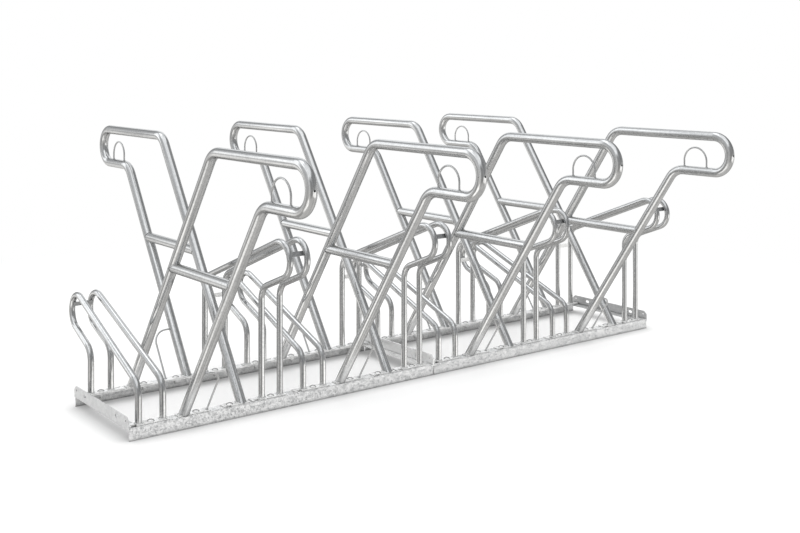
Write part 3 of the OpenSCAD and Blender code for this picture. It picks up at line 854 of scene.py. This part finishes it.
class BIKERACK_OT_welds(Operator):
    """Makes the weld beads at the feet, crossbars, lock eyes, lock rods and straps"""
    bl_idname = "bike_rack.welds"
    bl_label = "Welds"

    def execute(self, context):
        self.settings = context.scene.rack_welds
        seed = 7
        self.chance = random.Random(seed)
        self.smooth_angle = math.radians(60)
        self.leg = feet(FRAMES[0])[0][1]
        self.foot_welds(context)
        self.crossbar_welds(context)
        self.rod_welds(context)
        self.strap_welds(context)
        return {"FINISHED"}

    def foot_welds(self, context):
        """Beads round the feet of the wheel holders and lock frames"""
        bead = self.settings.tube_bead
        work = bmesh.new()
        for name in BARS:
            for foot in feet(name):
                self.add_foot_bead(work, foot, bead)
        finished_piece("holder_foot_welds", work, "holder_steel", context, self.smooth_angle, "bead_steel")
        plate_low, plate_high = solids("frame_foot_plates")[0]
        reach = (plate_high.y - plate_low.y) / 2 - bead
        work = bmesh.new()
        for name in FRAMES:
            for foot in feet(name):
                self.add_foot_bead(work, foot, bead, reach)
        finished_piece("frame_foot_welds", work, "frame_steel", context, self.smooth_angle, "bead_steel")

    def crossbar_welds(self, context):
        """Beads where the crossbars end on the legs"""
        bead = self.settings.tube_bead
        seat = bead * 0.1  # how far a bead's middle line stands off the tubes
        work = bmesh.new()
        for name in CROSSBARS:
            low, high = map(Vector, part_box(name))
            middle = (low + high) / 2
            tube = (high.z - low.z) / 2
            near_foot, far_foot = feet(name.replace("crossbar", "frame"))
            half = abs(far_foot[0].y - near_foot[0].y) / 2
            count = self.steps(math.tau * tube)
            for end in (-1, 1):
                axis = middle + Vector((0, -end * half, 0))
                points = self.saddle_points(axis, tube + seat, self.leg + seat, lean_of(name), end, count)
                self.add_bead(work, points, bead)
        finished_piece("crossbar_welds", work, "frame_steel", context, self.smooth_angle)

    def rod_welds(self, context):
        """Beads at both ends of the lock eyes and lock rods"""
        bead = self.settings.rod_bead
        low, high = map(Vector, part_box(EYES[0]))
        rod = (high.x - low.x) / 2
        leg_lean = self.settings.leg_lean
        slant = rod / math.cos(leg_lean)
        inset = math.sqrt(self.leg ** 2 - rod ** 2)
        size = rod + bead * 0.2  # radius of a bead's middle line
        turns = angles(self.steps(math.tau * size))
        work = bmesh.new()
        for name in EYES:
            low, high = map(Vector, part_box(name))
            for y in (low.y + rod, high.y - rod):
                axis = Vector(((low.x + high.x) / 2, y, low.z - inset))
                points = []
                for turn in turns:
                    x, y_off = size * math.cos(turn), size * math.sin(turn)
                    points.append(axis + Vector((x, y_off, math.sqrt(self.leg ** 2 - x * x))))
                self.add_bead(work, points, bead)
        for name in RODS:
            lean_y = lean_of(name)
            along = Vector((0, lean_y * math.sin(leg_lean), math.cos(leg_lean)))
            across = Vector((0, math.cos(leg_lean), -lean_y * math.sin(leg_lean)))
            for low, high in solids(name):
                if lean_y > 0:
                    foot = Vector((low.x + rod, low.y + slant, low.z))
                    axis = Vector((high.x + inset, high.y - rod, high.z - rod))
                else:
                    foot = Vector((high.x - rod, high.y - slant, low.z))
                    axis = Vector((low.x - inset, low.y + rod, high.z - rod))
                self.add_foot_bead(work, (foot, rod, slant), bead)
                points = []
                for turn in turns:
                    v = size * math.cos(turn)
                    out = Vector((-lean_y * math.sqrt(self.leg ** 2 - v * v), 0, 0))
                    points.append(axis + out + across * v + along * size * math.sin(turn))
                self.add_bead(work, points, bead)
        finished_piece("rod_welds", work, "rod_steel", context, self.smooth_angle)

    def strap_welds(self, context):
        """Short beads on both faces of each strap end"""
        work = bmesh.new()
        for low, high in solids("nose_straps"):
            self.add_strap_ends(work, low, high, self.settings.strap_lean)
        for low, high in solids("leg_straps"):
            self.add_strap_ends(work, low, high, 0.0)
        finished_piece("strap_welds", work, "strap_steel", context, self.smooth_angle)

    def add_strap_ends(self, work, low, high, angle):
        """Beads where one strap ends on its two bars; a nose strap's upper edge leans to the rack's middle"""
        width, thickness = self.settings.strap_width, self.settings.strap_thickness
        middle = (low + high) / 2
        nose_y = math.copysign(1, middle.y) if angle > 0 else 1
        face = Vector((0, nose_y * math.cos(angle), math.sin(angle)))
        edge = Vector((0, -nose_y * math.sin(angle), math.cos(angle)))
        count = self.steps(width)
        for x in (low.x, high.x):
            for flip in (-1, 1):
                base = Vector((x, middle.y, middle.z)) + face * flip * thickness / 2
                points = [base + edge * width * (k / (count - 1) - 0.5) for k in range(count)]
                self.add_bead(work, points, self.settings.rod_bead, closed=False)

    def saddle_points(self, axis, tube, leg, lean_y, end, count):
        """Where a tube along Y of radius tube meets a leg that leans to lean_y; end is the side of the leg"""
        leg_lean = self.settings.leg_lean
        points = []
        for turn in angles(count):
            x, z = tube * math.cos(turn), tube * math.sin(turn)
            out = math.sqrt(max(leg * leg - x * x, 0))
            y = (lean_y * z * math.sin(leg_lean) + end * out) / math.cos(leg_lean)
            points.append(axis + Vector((x, y, z)))
        return points

    def add_foot_bead(self, work, foot, radius, reach=None):
        """Bead round a foot on its plate; reach cuts it off where the plate ends"""
        lift, grow = radius * 0.15, radius * 0.25  # of the bead's middle line over the plate and off the tube
        centre, half_x, half_y = foot
        centre = centre + UPWARD * lift
        size_x, size_y = half_x + grow, half_y + grow

        def ellipse(turns, flip=1):
            return [centre + Vector((flip * size_x * math.cos(t), size_y * math.sin(t), 0)) for t in turns]

        if reach is None or reach > size_y:
            self.add_bead(work, ellipse(angles(self.steps(math.tau * size_x))), radius)
            return
        stop = math.asin(reach / size_y)
        count = self.steps(2 * stop * size_x)
        turns = [stop * (2 * k / (count - 1) - 1) for k in range(count)]
        for flip in (-1, 1):
            self.add_bead(work, ellipse(turns, flip), radius, closed=False)

    def add_bead(self, work, points, radius, closed=True):
        """Weld bead along points, with the ripples that a moving torch leaves"""
        sides = 8
        thinnest, thickest = 0.95, 1.05
        end_size, end_growth = 0.35, 0.4
        last = len(points) - 1
        rows = []
        travelled = 0.0
        side = None
        for k, point in enumerate(points):
            ahead = points[(k + 1) % len(points)] if closed or k < last else point
            behind = points[k - 1] if closed or k > 0 else point
            along = (ahead - behind).normalized()
            if side is None:
                side = along.orthogonal()
            side = (side - along * side.dot(along)).normalized()
            up = along.cross(side)
            if k > 0:
                travelled += (point - points[k - 1]).length
            phase = travelled / self.settings.ripple_pitch % 1
            size = radius * (1 - self.settings.ripple_depth * phase) * self.chance.uniform(thinnest, thickest)
            if not closed:
                size *= min(1.0, end_size + end_growth * min(k, last - k))
            rows.append([point + size * toward(turn, side, up) for turn in angles(sides)])
        shift = min(range(sides), key=lambda k: (rows[0][k] - rows[-1][0]).length)
        add_rows(work, rows, round_rows=closed, shift=shift, caps=not closed)

    def steps(self, length):
        """Number of points that shows the ripples over a length"""
        fewest, per_ripple = 8, 4
        return max(fewest, round(per_ripple * length / self.settings.ripple_pitch))


def lean_of(name):
    """-1 for what leans to the front and 1 for what leans to the back"""
    return -1 if name.startswith("front") else 1


class BIKERACK_OT_studio(Operator):
    """Makes the pale floor, the mirrored studio, the soft lamp and the camera"""
    bl_idname = "bike_rack.studio"
    bl_label = "Studio"

    def execute(self, context):
        studio = context.scene.rack_studio
        context.scene.view_settings.view_transform = "Standard"
        self.floor(context, studio)
        self.world(context, studio)
        self.lamp(context, studio)
        self.camera(context, studio)
        return {"FINISHED"}

    def floor(self, context, studio):
        """Square floor that belongs to the studio and not to the rack"""
        half = studio.floor_size / 2
        corners = ((-half, -half, 0), (half, -half, 0), (half, half, 0), (-half, half, 0))
        mesh = bpy.data.meshes.new("studio_floor")
        mesh.from_pydata(corners, [], [(0, 1, 2, 3)])
        mesh.materials.append(self.floor_material(studio))
        floor = bpy.data.objects.new("studio_floor", mesh)
        context.scene.collection.objects.link(floor)

    def floor_material(self, studio):
        """Pale floor, darker close to the rack, that fades to plain white far from it"""
        material = bpy.data.materials.new("pale_floor")
        sheet = cleared_sheet(material)
        # Painted shadow: the floor's colour darkens by ambient occlusion where the rack stands close to it
        open_share = sheet.add("AmbientOcclusion", {"Distance": studio.contact_reach}).outputs["AO"]
        shade = sheet.mapped(open_share, 1 - studio.contact_shade, 1.0)
        colour = sheet.blend(shade, BLACK, tuple(studio.floor_colour))
        diffuse = sheet.add("BsdfDiffuse", {"Color": colour}).outputs[0]
        path = sheet.add("LightPath").outputs
        mirrored = path["Is Glossy Ray"]
        seen = sheet.math("MAXIMUM", path["Is Camera Ray"], mirrored)
        lift = sheet.add("Emission", {
            "Color": WHITE, "Strength": sheet.math("MULTIPLY", seen, studio.floor_lift)}).outputs[0]
        near = sheet.add("AddShader", {0: diffuse, 1: lift}).outputs[0]
        distance = sheet.add("VectorMath", {0: sheet.place()}, operation="LENGTH").outputs["Value"]
        far = sheet.mapped(
            distance, 0.0, 1.0, studio.fade_start, studio.fade_end, interpolation_type="SMOOTHSTEP")
        white = sheet.add("Emission", {"Color": WHITE, "Strength": 1.0}).outputs[0]
        faded = sheet.blend_shaders(sheet.math("MULTIPLY", far, seen), near, white)
        too_far = sheet.mapped(path["Ray Length"], 0.0, 1.0, studio.mirror_reach / 2, studio.mirror_reach)
        through = sheet.add("BsdfTransparent").outputs[0]
        open_floor = sheet.blend_shaders(sheet.math("MULTIPLY", mirrored, too_far), faded, through)
        sheet.add("OutputMaterial", {"Surface": open_floor})
        return material

    def world(self, context, studio):
        """White behind the rack, soft panels in its reflections, and an even pale light from all round"""
        world = bpy.data.worlds.new("studio_world")
        context.scene.world = world
        sheet = cleared_sheet(world)
        path = sheet.add("LightPath").outputs
        mirrored = sheet.math("MAXIMUM", path["Is Glossy Ray"], path["Is Transmission Ray"])
        colour, strength = self.panels(sheet, studio)
        even, white, panels = (
            sheet.add("Background", {"Color": light, "Strength": power}).outputs[0]
            for light, power in ((WHITE, studio.ambient), (WHITE, 1.0), (colour, strength)))
        lit = sheet.blend_shaders(mirrored, even, panels)
        shown = sheet.blend_shaders(path["Is Camera Ray"], lit, white)
        sheet.add("OutputWorld", {"Surface": shown})

    def panels(self, sheet, studio):
        """Colour and strength of the studio's walls, ceiling and panels"""
        warm, cool = (1.0, 0.99, 0.97, 1), (0.96, 0.98, 1.0, 1)
        warm_below, cool_above = -0.4, 0.4
        height = sheet.part(sheet.place("Generated"), "Z")
        colour = sheet.blend(sheet.mapped(height, 0.0, 1.0, warm_below, cool_above), warm, cool)
        strength = studio.walls
        for panel in PANELS:
            azimuth, elevation = math.radians(panel.azimuth), math.radians(panel.elevation)
            level = math.cos(elevation)
            middle = (math.sin(azimuth) * level, math.cos(azimuth) * level, math.sin(elevation))
            side = (math.cos(azimuth), -math.sin(azimuth), 0.0)
            mask = sheet.group(panel_group(), {
                "Middle": middle, "Side": side, "Up": tuple(Vector(side).cross(Vector(middle))),
                "Half Width": math.radians(panel.half_width), "Half Height": math.radians(panel.half_height),
                "Softness": panel.softness})["Mask"]
            strength = sheet.add("Mix", {
                "Factor": mask, 2: strength, 3: panel.brightness}, data_type="FLOAT").outputs[0]
        return colour, strength

    def lamp(self, context, studio):
        """Large soft lamp over the rack that points at its foot and isn't mirrored"""
        data = bpy.data.lights.new("top_lamp", "AREA")
        data.shape = "RECTANGLE"
        data.size = data.size_y = studio.lamp_size
        data.energy = studio.lamp_power
        lamp = bpy.data.objects.new("top_lamp", data)
        lamp.location = studio.lamp_place
        lamp.rotation_euler = (-studio.lamp_place).to_track_quat("-Z", "Y").to_euler()
        lamp.visible_glossy = False
        context.scene.collection.objects.link(lamp)

    def camera(self, context, studio):
        """Camera at the photograph's place, held level"""
        data = bpy.data.cameras.new("rack_camera")
        data.sensor_width = studio.sensor
        data.lens = studio.lens
        data.shift_y = studio.shift
        camera = bpy.data.objects.new("rack_camera", data)
        camera.location = studio.camera_place
        camera.rotation_euler = (math.radians(90), 0, studio.camera_turn)
        context.scene.collection.objects.link(camera)
        context.scene.camera = camera


class BIKERACK_PT_panel(Panel):
    """Lists the rack's settings and operators"""
    bl_idname = "BIKERACK_PT_panel"
    bl_label = "Bike Rack"
    bl_space_type = "VIEW_3D"
    bl_region_type = "UI"
    bl_category = "Bike Rack"

    def draw(self, context):
        for label, settings in SETTINGS.items():
            box = self.layout.box()
            box.label(text=settings.__doc__)
            group = getattr(context.scene, label)
            for field in settings.__annotations__:
                box.prop(group, field)
        for operator in OPERATORS:
            self.layout.operator(operator.bl_idname)


SETTINGS = {
    "rack_zinc": ZincSettings,
    "rack_welds": WeldSettings,
    "rack_fasteners": FastenerSettings,
    "rack_studio": StudioSettings,
}
OPERATORS = (
    BIKERACK_OT_rails,
    BIKERACK_OT_frames,
    BIKERACK_OT_locks,
    BIKERACK_OT_holders,
    BIKERACK_OT_plates,
    BIKERACK_OT_fasteners,
    BIKERACK_OT_welds,
    BIKERACK_OT_studio,
)
CLASSES = (*SETTINGS.values(), *OPERATORS, BIKERACK_PT_panel)


def register():
    """Adds the classes and the scene's settings"""
    for item in CLASSES:
        bpy.utils.register_class(item)
    for label, settings in SETTINGS.items():
        setattr(bpy.types.Scene, label, PointerProperty(type=settings))


def unregister():
    """Takes them away again"""
    for label in SETTINGS:
        delattr(bpy.types.Scene, label)
    for item in reversed(CLASSES):
        bpy.utils.unregister_class(item)


def main():
    """Builds the whole scene, one operator after another"""
    register()
    bpy.ops.bike_rack.rails()
    bpy.ops.bike_rack.frames()
    bpy.ops.bike_rack.locks()
    bpy.ops.bike_rack.holders()
    bpy.ops.bike_rack.plates()
    bpy.ops.bike_rack.fasteners()
    bpy.ops.bike_rack.welds()
    bpy.ops.bike_rack.studio()


if __name__ == "__main__":
    main()
